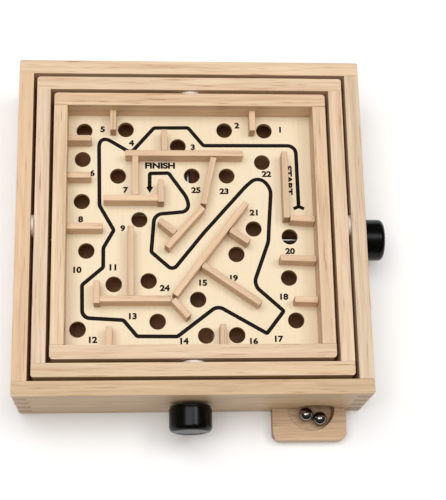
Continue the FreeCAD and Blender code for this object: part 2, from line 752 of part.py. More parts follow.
fill_sheet()
make_front_and_back()
make_sides()
make_floor()
make_ball_plate()
make_gimbal()
make_tray()
make_pivots()
make_maze_board()
make_walls()
make_drives()
make_cord("tray", Y, f"({TRAY_HALF} - dims.hook_inset)", "dims.front_shaft_x", "dims.front_shaft_z")
make_cord("gimbal", X, f"({GIMBAL_HALF} - dims.hook_inset)", "dims.side_shaft_y", "dims.side_shaft_z")
make_balls()
write_pieces()
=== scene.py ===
"""Looks of a wooden tilt maze game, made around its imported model.

It runs as a script in Blender 4.5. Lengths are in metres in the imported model's own frame: X to
the right, Y to the back, Z up, and the origin on the table under the middle of the box.
"""

import json
import math

import bmesh
import bpy
from mathutils import Matrix, Vector


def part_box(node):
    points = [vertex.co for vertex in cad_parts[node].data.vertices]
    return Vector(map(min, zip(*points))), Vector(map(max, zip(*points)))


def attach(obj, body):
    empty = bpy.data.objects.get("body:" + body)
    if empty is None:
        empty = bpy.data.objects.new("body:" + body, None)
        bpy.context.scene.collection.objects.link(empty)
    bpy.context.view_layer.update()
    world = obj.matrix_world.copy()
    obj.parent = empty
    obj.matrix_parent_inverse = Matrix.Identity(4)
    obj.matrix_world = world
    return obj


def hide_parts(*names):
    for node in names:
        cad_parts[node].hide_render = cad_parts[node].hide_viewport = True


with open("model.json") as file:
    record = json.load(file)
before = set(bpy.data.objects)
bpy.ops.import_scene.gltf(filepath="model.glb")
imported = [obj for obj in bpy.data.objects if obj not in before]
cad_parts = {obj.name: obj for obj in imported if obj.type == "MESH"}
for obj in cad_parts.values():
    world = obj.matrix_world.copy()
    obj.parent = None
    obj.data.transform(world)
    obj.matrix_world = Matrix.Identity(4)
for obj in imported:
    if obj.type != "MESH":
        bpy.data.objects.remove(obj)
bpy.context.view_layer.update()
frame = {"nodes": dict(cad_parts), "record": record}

bl_info = {
    "name": "Tilt Maze Game",
    "version": (1, 0, 0),
    "blender": (4, 5, 0),
    "location": "View3D > Sidebar > Tilt Maze",
    "description": "Makes the wood, print, knobs and balls of a tilt maze game",
    "category": "Object",
}

MM = 0.001
MERGE = 1e-6
FLAT_ANGLE = math.radians(1.0)
SHARP_ANGLE = math.radians(30.0)
FULL_TURN = 2 * math.pi

BODY_OF = {
    node: body
    for body, nodes in frame["record"]["behaviour"]["bodies"].items()
    for node in nodes
}
SLOT_OF = {name: node.data.materials[0].name for name, node in frame["nodes"].items()}

BOX_PANELS = ("front_panel", "back_panel", "left_panel", "right_panel")
GIMBAL_RAILS = tuple(f"gimbal_{side}_rail" for side in ("front", "back", "left", "right"))
TRAY_RAILS = tuple(f"tray_{side}_rail" for side in ("front", "back", "left", "right"))
WALLS = tuple(sorted(name for name in SLOT_OF if SLOT_OF[name] == "wall_wood"))
BOARD_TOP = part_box("maze_board")[1].z

# Growth rings of the pine: their spacing and the pith's place beside the plank.
RING_SPACING = 0.0031
PITH_ACROSS = 0.019
PITH_BELOW = 0.031
# How much the lightness of like wall strips differs.
WALL_SPREAD = 0.16
# Steps that give each strip another part of the plank.
PLANK_STEPS = (0.371, 0.618, 0.414)
END_FACING = 0.8

# Red, green and blue of each plank, as a share of its finish. The front panel's and the ball
# plate's tints are set darker than the rest: besides their tone, this paints in the shade at the
# front of the box.
PLAIN_TINT = (1.0, 1.0, 1.0)
PLANK_TINTS_AND_PAINTED_SHADE = {
    # painted shade: the front panel is darkened for the shade on its front face
    "front_panel": (0.81, 0.75, 0.65),
    "left_panel": (0.98, 0.91, 0.84),
    "back_panel": (1.02, 1.01, 1.02),
    "right_panel": (0.91, 0.93, 0.97),
    # painted shade: the ball plate is darkened for the shade in front of the box
    "ball_plate": (0.84, 0.77, 0.7),
    "gimbal_left_rail": (0.97, 0.97, 1.02),
    "gimbal_front_rail": (0.93, 0.91, 0.84),
    "tray_back_rail": (0.97, 0.92, 0.9),
    "tray_front_rail": (0.95, 0.93, 0.95),
    "tray_right_rail": (0.95, 0.91, 0.92),
}

# The line from START to FINISH: X and Y in millimetres, and how far from each corner its
# rounding begins.
MAZE_LINE = (
    (60.5, 14.2, 0),
    (60.1, 50.7, 4.8),
    (7.6, 50.5, 0.8),
    (-1.0, 61.3, 0.8),
    (-20.3, 61.1, 0.8),
    (-33.3, 45.9, 2.4),
    (-51.3, 57.0, 7.6),
    (-50.7, 14.5, 0.8),
    (-42.7, 0.1, 0.8),
    (-48.4, -10.2, 0.8),
    (-48.4, -21.3, 0.8),
    (-59.8, -31.3, 0.8),
    (-59.5, -49.7, 4.0),
    (-37.3, -51.1, 0.8),
    (-29.9, -60.1, 0.8),
    (-8.1, -60.3, 0.8),
    (13.9, -43.2, 3.4),
    (40.5, -58.8, 0.8),
    (50.1, -46.3, 0.8),
    (33.9, -31.4, 4.2),
    (42.8, -6.6, 1.5),
    (43.3, 0.5, 1.5),
    (45.4, 26.4, 5.2),
    (37.4, 31.6, 4.0),
    (31.0, 26.0, 2.0),
    (6.8, -1.7, 0.8),
    (-10.3, -23.2, 3.4),
    (-22.1, -12.5, 0.8),
    (-20.3, 9.3, 4.2),
    (-1.0, 11.1, 4.2),
    (-1.7, 18.6, 3.2),
    (-12.2, 33.8, 0.8),
    (-22.8, 33.6, 0.8),
    (-22.9, 25.2, 0),
)
ARROW_HEAD = ((-24.9, 25.6), (-20.8, 25.6), (-22.8, 21.9))
TAIL_PRONGS = (
    ((60.5, 14.1, 0), (57.6, 12.8, 0)),
    ((60.5, 14.1, 0), (63.5, 12.8, 0)),
)
NUMBERS = {
    "1": (51.6, 60.5), "2": (26.9, 62.9), "3": (1.6, 49.5), "4": (-33.0, 51.9),
    "5": (-49.3, 60.1), "6": (-54.8, 33.7), "7": (-36.2, 23.7), "8": (-61.0, 6.4),
    "9": (-37.8, 1.2), "10": (-62.4, -22.7), "11": (-43.1, -21.3), "12": (-53.5, -61.9),
    "13": (-32.2, -48.9), "14": (-4.4, -62.8), "15": (6.2, -30.2), "16": (33.3, -63.0),
    "17": (47.0, -61.9), "18": (50.6, -38.2), "19": (23.2, -27.5), "20": (54.8, -12.0),
    "21": (35.1, 10.5), "22": (43.0, 33.5), "23": (18.8, 23.1), "24": (-14.8, -33.1),
    "25": (3.0, 23.7),
}
DIGIT_WIDENING = 1.15
LETTER_WEIGHT = 0.05
LETTER_SMOOTHNESS = 16
FINISH_WORD = (-25.4, -8.6, 38.3)
START_WORD = (38.6, 21.0, 55.6)

# Soft lights as the side of their square and their place, then the camera.
KEY_LIGHT = (1.0, (-0.25, 0.06, 1.4))
FILL_LIGHT = (0.45, (0.6, 0.1, 1.3))
LIGHT_AIM = Vector((0, 0, 0.03))
SKY_TINT = (1.0, 0.99, 0.975, 1.0)
FLOOR_WHITE = (0.97, 0.97, 0.97, 1.0)
FLOOR_HALF = 4.0
CAMERA_PLACE = (-0.03086, -0.22086, 0.70942)
CAMERA_TURN = (17.2987, -3.7373, -1.1735)


def light(value):
    """Turns a display value from 0 to 255 into the light that Blender works in."""
    share = value / 255
    if share <= 0.04045:
        return share / 12.92
    return ((share + 0.055) / 1.055) ** 2.4


def colour(name, description, red, green, blue):
    """Declares a colour that the user can change, from display values."""
    return bpy.props.FloatVectorProperty(
        name=name,
        description=description,
        default=(light(red), light(green), light(blue)),
        size=3,
        min=0.0,
        max=1.0,
        subtype="COLOR",
    )


def length(name, description, millimetres):
    """Declares a length that the user can change."""
    return bpy.props.FloatProperty(
        name=name,
        description=description,
        default=millimetres * MM,
        min=0.0,
        subtype="DISTANCE",
        unit="LENGTH",
        precision=5,
    )


class MazeSizes(bpy.types.PropertyGroup):
    """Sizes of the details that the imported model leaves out."""

    panel_easing: length("Panel easing", "Rounding along the edges of the box panels", 0.5)
    rail_easing: length("Rail easing", "Rounding along the edges of the frame rails", 0.5)
    wall_easing: length("Wall easing", "Rounding along the edges of the maze walls", 0.3)
    board_easing: length("Board easing", "Rounding around the holes of the board", 0.25)
    fitting_easing: length("Fitting easing", "Rounding on washers, rings and pins", 0.2)
    line_width: length("Line width", "Width of the printed line", 2.15)
    ink_height: length("Ink height", "How far the print stands above the board", 0.05)
    digit_height: length("Number height", "Height of the printed hole numbers", 3.6)
    word_height: length("Word height", "Height of the printed words", 3.8)
    spring_wire: length("Spring wire", "Diameter of the spring wire", 0.5)
    spring_turns: bpy.props.IntProperty(
        name="Spring turns", description="Turns of wire in each spring", default=11, min=3
    )
    knob_easing: length("Knob easing", "Rounding of the knobs' outer edge", 2.9)
    knob_dish: length("Knob dish", "Depth of the shallow dish in the knobs' face", 0.35)


class MazeColours(bpy.types.PropertyGroup):
    """Colours of the game's finishes."""

    box_pine: colour("Box pine", "Early wood of the box panels", 226, 200, 166)
    gimbal_pine: colour("Gimbal pine", "Early wood of the outer frame", 226, 200, 168)
    tray_pine: colour("Tray pine", "Early wood of the inner frame", 228, 202, 166)
    wall_pine: colour("Wall pine", "Early wood of the maze walls", 222, 190, 156)
    late_wood: colour("Late wood", "Rings and streaks of the pine", 176, 132, 88)
    end_wood: colour("End grain", "Sawn ends of the pine", 158, 116, 76)
    board: colour("Board", "Face of the maze board", 234, 220, 190)
    plywood: colour("Plywood", "Base board and its battens", 214, 176, 128)
    # The hardboard colour is lighter and redder than bare hardboard: painted light on the floor
    # seen through the holes.
    hardboard_painted_light: colour("Hardboard", "Sloping floor under the maze", 214, 146, 96)
    ink: colour("Ink", "Printed line and numbers", 20, 16, 14)
    plastic: colour("Knob plastic", "Moulded knobs", 6, 6, 6)
    steel: colour("Steel", "Shafts, pins, hooks and springs", 190, 190, 188)
    # The ball steel is set darker than polished steel: a painted dark reflection of the
    # surroundings.
    ball_steel: colour("Ball steel", "Polished balls", 160, 156, 154)
    nylon: colour("Nylon", "Washers and rings", 226, 220, 208)
    cord: colour("Cord", "Waxed drive cords", 210, 200, 178)


class MazeStage(bpy.types.PropertyGroup):
    """Light and camera of the studio."""

    key_power: bpy.props.FloatProperty(
        name="Key light", description="Power of the large soft light", default=12.2, unit="POWER"
    )
    fill_power: bpy.props.FloatProperty(
        name="Fill light", description="Power of the light at the right", default=4.2, unit="POWER"
    )
    sky_strength: bpy.props.FloatProperty(
        name="Sky", description="Strength of the even light from all around", default=0.42
    )
    lens: bpy.props.FloatProperty(
        name="Lens", description="Focal length of the camera in millimetres", default=92.2
    )


class Wire:
    """An output socket that sums, products and powers can be written with."""

    def __init__(self, finish, socket):
        self.finish = finish
        self.socket = socket

    def out(self, name):
        """Another output of the same node."""
        return Wire(self.finish, self.socket.node.outputs[name])

    def maths(self, operation, *values, clamp=False):
        settings = {"operation": operation, "use_clamp": clamp}
        return self.finish.node("Math", settings, dict(enumerate(values)))

    def __add__(self, other):
        return self.maths("ADD", self, other)

    __radd__ = __add__

    def __sub__(self, other):
        return self.maths("SUBTRACT", self, other)

    def __rsub__(self, other):
        return self.maths("SUBTRACT", other, self)

    def __mul__(self, other):
        return self.maths("MULTIPLY", self, other)

    __rmul__ = __mul__

    def __truediv__(self, other):
        return self.maths("DIVIDE", self, other)

    def __pow__(self, other):
        return self.maths("POWER", self, other)

    def fraction(self):
        return self.maths("FRACT", self)

    def held(self):
        """The value kept from 0 to 1."""
        return self.maths("ADD", self, 0.0, clamp=True)

    def above(self, low, high):
        """0 below low, 1 above high, and smooth between them."""
        settings = {"interpolation_type": "SMOOTHSTEP"}
        return self.finish.node("MapRange", settings, {"Value": self, 1: low, 2: high})


class Nodes:
    """A node tree that is written as expressions."""

    def __init__(self, tree):
        self.tree = tree

    def node(self, kind, settings=None, sockets=None, output=0):
        """Adds a node: its settings first, then the values or links of its sockets."""
        made = self.tree.nodes.new("ShaderNode" + kind)
        for key, value in (settings or {}).items():
            if key == "stops":
                self.set_stops(made.color_ramp.elements, value)
            else:
                setattr(made, key, value)
        for key, value in (sockets or {}).items():
            self.join(made.inputs[key], value)
        return Wire(self, made.outputs[output])

    def join(self, socket, value):
        if isinstance(value, Wire):
            self.tree.links.new(value.socket, socket)
        else:
            socket.default_value = value

    @staticmethod
    def set_stops(elements, stops):
        """Gives a ramp its stops, each a place and a grey value."""
        while len(elements) < len(stops):
            elements.new(0.5)
        for element, (place, grey) in zip(elements, stops):
            element.position = place
            element.color = (grey, grey, grey, 1.0)



class Finish(Nodes):
    """A node material for one of the game's finishes."""

    def __init__(self, name):
        self.material = bpy.data.materials.new(name)
        self.material.use_nodes = True
        super().__init__(self.material.node_tree)
        self.shader = self.tree.nodes["Principled BSDF"]

    def shade(self, sockets):
        """Sets the shader's sockets by name and returns the material."""
        for key, value in sockets.items():
            self.join(self.shader.inputs[key], value)
        return self.material

    def place(self):
        """The point on the surface in the piece's own frame."""
        return self.node("TexCoord", output="Object")

    def stretched(self, vector, scales):
        """A vector with each part scaled, in cycles to the metre."""
        settings = {"operation": "MULTIPLY"}
        return self.node("VectorMath", settings, {0: vector, 1: scales})

    def noise(self, vector, scales, detail=2.0, roughness=0.5):
        """Noise from 0 to 1 whose cells are 1 / scale metres long."""
        sockets = {
            "Vector": self.stretched(vector, scales),
            "Scale": 1.0,
            "Detail": detail,
            "Roughness": roughness,
        }
        return self.node("TexNoise", {"noise_dimensions": "3D"}, sockets)

    def mixed(self, share, first, second):
        """Two colours mixed."""
        sockets = {0: share, 6: first, 7: second}
        return self.node("Mix", {"data_type": "RGBA", "clamp_factor": True}, sockets, 2)

    def dimmed(self, paint, factor):
        """A colour made lighter or darker."""
        settings = {"operation": "SCALE"}
        return self.node("VectorMath", settings, {0: paint, "Scale": factor})

    def bump(self, height, depth, strength=1.0):
        """A normal from a height that is in units of depth, in metres."""
        return self.node("Bump", None, {"Strength": strength, "Distance": depth, "Height": height})


def paint(values, factor=1.0):
    """A colour property as a socket's four values."""
    return (values[0] * factor, values[1] * factor, values[2] * factor, 1.0)


def pine_finish(name, early, contrast=1.0):
    """Planed pine: growth rings, fibres, short dark streaks and darker sawn ends."""
    colours = bpy.context.scene.maze_colours
    finish = Finish(name)
    grain = finish.node("Attribute", {"attribute_name": "grain"}, output="Vector")
    tint = finish.node("Attribute", {"attribute_name": "tint"}, output="Vector")
    sawn = finish.node("Attribute", {"attribute_name": "end_grain"}, output="Fac")
    parts = finish.node("SeparateXYZ", None, {"Vector": grain})
    drift = finish.noise(grain, (14, 80, 80), detail=2)
    band = finish.noise(grain, (9, 330, 330), detail=2)
    fibre = finish.noise(grain, (45, 1800, 1800), detail=4, roughness=0.62)
    streak = finish.noise(grain, (42, 1150, 1150), detail=2)
    across = parts.out("Y") + PITH_ACROSS
    upward = parts.out("Z") + PITH_BELOW
    radius = (across * across + upward * upward) ** 0.5
    ring = (radius / RING_SPACING + drift * 2.6).fraction()
    stops = ((0.0, 0.2), (0.5, 0.12), (0.86, 1.0), (1.0, 0.2))
    late = finish.node("ValToRGB", {"stops": stops}, {"Fac": ring})
    wood = (
        late * (0.24 * contrast)
        + (band - 0.5) * (0.95 * contrast)
        + (fibre - 0.5) * (0.95 * contrast)
        + streak.above(0.62, 0.72) * (0.6 * contrast)
        + 0.14
    ).held()
    body = finish.mixed(wood, paint(early), paint(colours.late_wood))
    ends = finish.mixed(
        (late * 0.5 + (fibre - 0.5) * 1.2 + 0.3).held(),
        paint(colours.end_wood, 1.12),
        paint(colours.end_wood, 0.8),
    )
    face = finish.mixed(sawn * 0.8, body, ends)
    shade = (drift - 0.5) * 0.16 + 1.0
    # The tint holds each plank's tone and, on the front panel and the ball plate, painted shade.
    tinted = finish.node("VectorMath", {"operation": "MULTIPLY"}, {0: face, 1: tint})
    relief = fibre * 0.7 + late * 0.3 - streak.above(0.62, 0.72) * 0.6
    return finish.shade(
        {
            "Base Color": finish.dimmed(tinted, shade),
            "Roughness": (fibre * 0.25 + late * -0.08 + 0.36).held(),
            "Normal": finish.bump(relief, 0.00008, 0.9),
        }
    )


def board_finish():
    """The maze board's smooth pale face, with faint fibres, specks and browner cut edges."""
    colours = bpy.context.scene.maze_colours
    finish = Finish("pale_maze_board")
    place = finish.place()
    cloud = finish.noise(place, (22, 12, 22), detail=3)
    fibre = finish.noise(place, (1500, 40, 1500), detail=3)
    speck = finish.noise(place, (900, 260, 900), detail=1)
    facing = finish.node("NewGeometry", output="Normal")
    level = finish.node("SeparateXYZ", None, {"Vector": facing}).out("Z")
    cut = 1.0 - level.above(0.55, 0.95)
    face = finish.mixed(
        ((fibre - 0.5) * 0.9 + speck.above(0.66, 0.78) * 0.35 + (cloud - 0.5) * 0.6 + 0.3).held(),
        paint(colours.board),
        paint(colours.plywood, 1.05),
    )
    edge = finish.mixed(fibre, paint(colours.plywood, 0.78), paint(colours.plywood, 0.5))
    return finish.shade(
        {
            "Base Color": finish.mixed(cut, finish.mixed(0.5, face, paint(colours.board)), edge),
            "Roughness": fibre * 0.2 + 0.42,
            "Normal": finish.bump(fibre + speck * 0.5, 0.00003, 0.7),
        }
    )


def plywood_finish(name, face):
    """Rotary-cut sheet with wide soft figure."""
    colours = bpy.context.scene.maze_colours
    finish = Finish(name)
    place = finish.place()
    figure = finish.noise(place, (10, 55, 10), detail=3)
    fibre = finish.noise(place, (50, 1300, 1300), detail=3)
    wave = (figure * 9.0).fraction()
    stops = ((0.0, 0.1), (0.55, 0.5), (0.9, 1.0), (1.0, 0.1))
    late = finish.node("ValToRGB", {"stops": stops}, {"Fac": wave})
    share = (late * 0.4 + (fibre - 0.5) * 0.8 + 0.2).held()
    return finish.shade(
        {
            "Base Color": finish.mixed(share, paint(face), paint(colours.late_wood, 0.8)),
            "Roughness": fibre * 0.25 + 0.5,
            "Normal": finish.bump(fibre, 0.00006, 0.8),
        }
    )


def ink_finish():
    """Screen-printed black ink, thin in places."""
    ink = bpy.context.scene.maze_colours.ink
    finish = Finish("black_print")
    place = finish.place()
    grain = finish.noise(place, (2600, 900, 2600), detail=2)
    cloud = finish.noise(place, (300, 300, 300), detail=1)
    thin = (grain.above(0.5, 0.8) * 0.5 + (cloud - 0.5) * 0.4).held()
    return finish.shade(
        {
            "Base Color": finish.mixed(thin, paint(ink), paint(ink, 4.0)),
            "Roughness": grain * 0.3 + 0.5,
            "Specular IOR Level": 0.15,
            "Normal": finish.bump(grain, 0.00002, 0.6),
        }
    )


def plastic_finish():
    """Glossy moulded plastic with a very fine moulded texture."""
    black = bpy.context.scene.maze_colours.plastic
    finish = Finish("black_moulded_plastic")
    place = finish.place()
    skin = finish.noise(place, (5200, 5200, 5200), detail=2)
    haze = finish.noise(place, (160, 160, 160), detail=3)
    return finish.shade(
        {
            "Base Color": finish.mixed(haze, paint(black, 0.8), paint(black, 1.6)),
            "Roughness": haze * 0.1 + skin * 0.06 + 0.15,
            "Specular IOR Level": 0.17,
            "Normal": finish.bump(skin, 0.00001, 0.5),
        }
    )


def steel_finish(name, metal, roughness, scratches):
    """Steel with fine scratches and a slight bloom."""
    finish = Finish(name)
    place = finish.place()
    bloom = finish.noise(place, (260, 260, 260), detail=3)
    scratch = finish.noise(place, (5200, 420, 3100), detail=2)
    line = scratch.above(0.58, 0.66) * scratches
    return finish.shade(
        {
            "Base Color": finish.mixed(bloom, paint(metal, 0.86), paint(metal)),
            "Metallic": 1.0,
            "Roughness": (bloom * 0.1 + line * 0.3 + roughness).held(),
            "Normal": finish.bump(line, 0.000008, 0.6),
        }
    )


def nylon_finish():
    """Milky nylon of the washers and rings."""
    colours = bpy.context.scene.maze_colours
    finish = Finish("milky_nylon")
    cloud = finish.noise(finish.place(), (420, 420, 420), detail=3)
    return finish.shade(
        {
            "Base Color": finish.mixed(cloud, paint(colours.nylon, 0.92), paint(colours.nylon)),
            "Roughness": cloud * 0.2 + 0.32,
            "Normal": finish.bump(cloud, 0.00003, 0.5),
        }
    )


def cord_finish():
    """Waxed cord: slanting strands with fuzz between them, and painted shade in the grooves between
    the strands.
    """
    colours = bpy.context.scene.maze_colours
    finish = Finish("waxed_cord")
    place = finish.place()
    parts = finish.node("SeparateXYZ", None, {"Vector": place})
    lay = (parts.out("X") + parts.out("Y") + parts.out("Z")) * 1400.0
    strand = (lay.fraction() - 0.5) ** 2.0
    fuzz = finish.noise(place, (3000, 3000, 3000), detail=3)
    # The grooves between strands are darkened in colour as well as sunk: painted crease shade.
    share = (strand * 3.0 + (fuzz - 0.5) * 0.5).held()
    return finish.shade(
        {
            "Base Color": finish.mixed(share, paint(colours.cord), paint(colours.cord, 0.45)),
            "Roughness": fuzz * 0.2 + 0.6,
            "Normal": finish.bump(share * -1.0, 0.00008, 0.8),
        }
    )


def finish_of(name, make, *values):
    """The finish of that name, made the first time that it is asked for."""
    return bpy.data.materials.get(name) or make(*values)


def copy_of(node):
    """A node's shape with its loose triangles joined and its flat areas made whole."""
    shape = bmesh.new()
    shape.from_mesh(frame["nodes"][node].data)
    bmesh.ops.remove_doubles(shape, verts=shape.verts, dist=MERGE)
    bmesh.ops.dissolve_limit(
        shape, angle_limit=FLAT_ANGLE, verts=shape.verts, edges=shape.edges
    )
    return shape


def ease_edges(shape, easing, segments=3):
    """Rounds the outer edges and keeps the inner corners crisp."""
    outer = [
        edge
        for edge in shape.edges
        if edge.is_manifold and edge.calc_face_angle_signed() > SHARP_ANGLE
    ]
    for edge in shape.edges:
        edge.smooth = not (edge.is_manifold and edge.calc_face_angle_signed() < -SHARP_ANGLE)
    bmesh.ops.bevel(
        shape,
        geom=outer,
        offset=easing,
        offset_type="OFFSET",
        segments=segments,
        profile=0.5,
        affect="EDGES",
        clamp_overlap=True,
        material=-1,
    )


def strips_of(shape):
    """The vertices of each separate strip in a shape."""
    waiting = dict.fromkeys(shape.verts)
    strips = []
    while waiting:
        strip = [waiting.popitem()[0]]
        for vert in strip:
            for edge in vert.link_edges:
                other = edge.other_vert(vert)
                if other in waiting:
                    del waiting[other]
                    strip.append(other)
        strips.append(strip)
    return strips


def length_angle(strip):
    """The angle from X of a strip's length, seen from above."""
    middle = sum((vert.co for vert in strip), Vector()) / len(strip)
    offsets = [vert.co - middle for vert in strip]
    along_x = sum(offset.x**2 for offset in offsets)
    along_y = sum(offset.y**2 for offset in offsets)
    skew = sum(offset.x * offset.y for offset in offsets)
    return math.atan2(2 * skew, along_x - along_y) / 2


class Timber:
    """Gives each strip of wood its own length of the plank."""

    cut = 0

    @classmethod
    def mark(cls, shape, angle, tint_share, spread):
        """Stores the grain's place, the plank's tint (painted shade on the front panel and the ball
        plate) and the sawn ends on a shape.
        """
        along_step, across_step, height_step = PLANK_STEPS
        grain = shape.verts.layers.float_vector.new("grain")
        tint = shape.verts.layers.float_vector.new("tint")
        end_grain = shape.faces.layers.float.new("end_grain")
        for strip in strips_of(shape):
            cls.cut += 1
            turn = length_angle(strip) if angle is None else angle
            upright = Matrix.Rotation(-turn, 3, "Z")
            share = (cls.cut * across_step) % 1.0
            height = (cls.cut * height_step) % 1.0
            plank = Vector((cls.cut * along_step, share * 0.021, height * 0.03))
            for vert in strip:
                vert[grain] = upright @ vert.co + plank
                vert[tint] = Vector(tint_share) * (1.0 + (share - 0.5) * spread)
            lengthways = Vector((math.cos(turn), math.sin(turn), 0))
            for face in {face for vert in strip for face in vert.link_faces}:
                face[end_grain] = float(abs(face.normal.dot(lengthways)) > END_FACING)


def add_piece(name, shape, finish, body, replaced=()):
    """Makes a finished piece from a shape and says what it rides on and replaces."""
    for face in shape.faces:
        face.smooth = True
    mesh = bpy.data.meshes.new(name)
    shape.to_mesh(mesh)
    shape.free()
    mesh.materials.append(finish)
    piece = bpy.data.objects.new(name, mesh)
    bpy.context.scene.collection.objects.link(piece)
    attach(piece, body)
    if replaced:
        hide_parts(*replaced)
    return piece


def even_shading(piece):
    """Keeps the flat faces flat beside their rounded edges."""
    modifier = piece.modifiers.new("even shading", "WEIGHTED_NORMAL")
    modifier.keep_sharp = True


def timber_piece(node, finish, easing, angle=None, spread=0.0):
    """An eased and grained copy of a wooden node in its place."""
    shape = copy_of(node)
    ease_edges(shape, easing)
    Timber.mark(shape, angle, PLANK_TINTS_AND_PAINTED_SHADE.get(node, PLAIN_TINT), spread)
    piece = add_piece(node + "_wood", shape, finish, BODY_OF[node], [node])
    even_shading(piece)
    return piece


def fitting_piece(node, finish, easing):
    """An eased copy of a small fitting in its place."""
    shape = copy_of(node)
    ease_edges(shape, easing)
    piece = add_piece(node + "_fitted", shape, finish, BODY_OF[node], [node])
    even_shading(piece)
    return piece


def dress(node, finish):
    """Gives a node that stays as it is its finish."""
    frame["nodes"][node].material_slots[0].material = finish


def bent_wire(shape, corners):
    """Draws joined edges through corners and rounds each corner by its own amount."""
    points = [shape.verts.new(corner[:3]) for corner in corners]
    for pair in zip(points, points[1:]):
        shape.edges.new(pair)
    for point, corner in zip(points, corners):
        if corner[3]:
            bmesh.ops.bevel(
                shape,
                geom=[point],
                offset=corner[3],
                offset_type="OFFSET",
                segments=10,
                profile=0.5,
                affect="VERTICES",
                material=-1,
            )


def printed_stroke(corners, low, high):
    """A standing ribbon along a printed line, ready to be given its width."""
    shape = bmesh.new()
    bent_wire(shape, [(x * MM, y * MM, low, ease * MM) for x, y, ease in corners])
    raised = bmesh.ops.extrude_edge_only(shape, edges=shape.edges[:])["geom"]
    tops = [part for part in raised if isinstance(part, bmesh.types.BMVert)]
    bmesh.ops.translate(shape, verts=tops, vec=(0, 0, high - low))
    bmesh.ops.recalc_face_normals(shape, faces=shape.faces[:])
    return shape


def widen(piece, width):
    """Gives a printed stroke its width, even round its corners."""
    modifier = piece.modifiers.new("line width", "SOLIDIFY")
    modifier.thickness = width
    modifier.offset = 0.0
    modifier.use_even_offset = True


def printed_slab(outline, low, high):
    """A thin slab over an outline."""
    shape = bmesh.new()
    shape.faces.new([shape.verts.new((x * MM, y * MM, low)) for x, y in outline])
    raised = bmesh.ops.extrude_face_region(shape, geom=shape.faces[:])["geom"]
    tops = [part for part in raised if isinstance(part, bmesh.types.BMVert)]
    bmesh.ops.translate(shape, verts=tops, vec=(0, 0, high - low))
    bmesh.ops.recalc_face_normals(shape, faces=shape.faces[:])
    return shape


def lettering(shape, text, height, width, place):
    """Adds raised letters of a height and whole width, centred and turned by a matrix."""
    sizes = bpy.context.scene.maze_sizes
    curve = bpy.data.curves.new("letters", "FONT")
    curve.body = text
    curve.size = 1.0
    curve.align_x = "CENTER"
    curve.align_y = "CENTER"
    curve.offset = LETTER_WEIGHT
    curve.resolution_u = LETTER_SMOOTHNESS
    holder = bpy.data.objects.new("letters", curve)
    mesh = bpy.data.meshes.new_from_object(holder)
    spread = [vert.co.x for vert in mesh.vertices]
    rise = [vert.co.y for vert in mesh.vertices]
    middle = Vector((min(spread) + max(spread), min(rise) + max(rise), 0)) / 2
    tall = height / (max(rise) - min(rise))
    wide = width / (max(spread) - min(spread)) if width else tall * DIGIT_WIDENING
    grow = Matrix.Diagonal((wide, tall, tall, 1.0)) @ Matrix.Translation(-middle)
    mesh.transform(place @ grow)
    letters = bmesh.new()
    letters.from_mesh(mesh)
    bmesh.ops.remove_doubles(letters, verts=letters.verts, dist=MERGE)
    raised = bmesh.ops.extrude_face_region(letters, geom=letters.faces[:])["geom"]
    tops = [part for part in raised if isinstance(part, bmesh.types.BMVert)]
    bmesh.ops.translate(letters, verts=tops, vec=(0, 0, sizes.ink_height))
    bmesh.ops.recalc_face_normals(letters, faces=letters.faces[:])
    letters.to_mesh(mesh)
    letters.free()
    shape.from_mesh(mesh)
    bpy.data.objects.remove(holder)
    bpy.data.curves.remove(curve)
    bpy.data.meshes.remove(mesh)


def at(x, y, turn=0.0):
    """A placing matrix on the board's top, from millimetres and degrees."""
    place = Matrix.Translation((x * MM, y * MM, BOARD_TOP))
    return place @ Matrix.Rotation(math.radians(turn), 4, "Z")


def stand(shape, start, end):
    """Turns and moves a shape made up Z so that it runs from start towards end."""
    turn = Vector((0, 0, 1)).rotation_difference(end - start).to_matrix().to_4x4()
    matrix = Matrix.Translation(start) @ turn
    bmesh.ops.transform(shape, matrix=matrix, verts=shape.verts)


def wound_wire(reach, coil_radius, wire_radius, turns):
    """A wire wound up Z with closed ends, its length from the first turn's middle."""
    shape = bmesh.new()
    section = Matrix.Translation((coil_radius, 0, 0)) @ Matrix.Rotation(math.pi / 2, 4, "X")
    bmesh.ops.create_circle(shape, segments=10, radius=wire_radius, matrix=section)
    steps = turns * 24
    bmesh.ops.spin(
        shape,
        geom=shape.verts[:] + shape.edges[:],
        cent=(0, 0, 0),
        axis=(0, 0, 1),
        dvec=(0, 0, reach / steps),
        angle=turns * FULL_TURN,
        steps=steps,
    )
    ends = [edge for edge in shape.edges if edge.is_boundary]
    bmesh.ops.holes_fill(shape, edges=ends)
    bmesh.ops.recalc_face_normals(shape, faces=shape.faces[:])
    return shape


def turned(corners):
    """A solid of revolution about Z from corners: radius, height and rounding."""
    shape = bmesh.new()
    bent_wire(shape, [(radius, 0, height, ease) for radius, height, ease in corners])
    bmesh.ops.spin(
        shape,
        geom=shape.verts[:] + shape.edges[:],
        cent=(0, 0, 0),
        axis=(0, 0, 1),
        angle=FULL_TURN,
        steps=96,
        use_merge=True,
    )
    bmesh.ops.remove_doubles(shape, verts=shape.verts, dist=MERGE)
    bmesh.ops.recalc_face_normals(shape, faces=shape.faces[:])
    return shape


def ends_of(node, axis):
    """The middles of a rod's two ends, from its own points along an axis."""
    places = [vert.co for vert in frame["nodes"][node].data.vertices]
    middle = sum(place[axis] for place in places) / len(places)
    low = [place for place in places if place[axis] < middle]
    high = [place for place in places if place[axis] >= middle]
    return sum(low, Vector()) / len(low), sum(high, Vector()) / len(high)


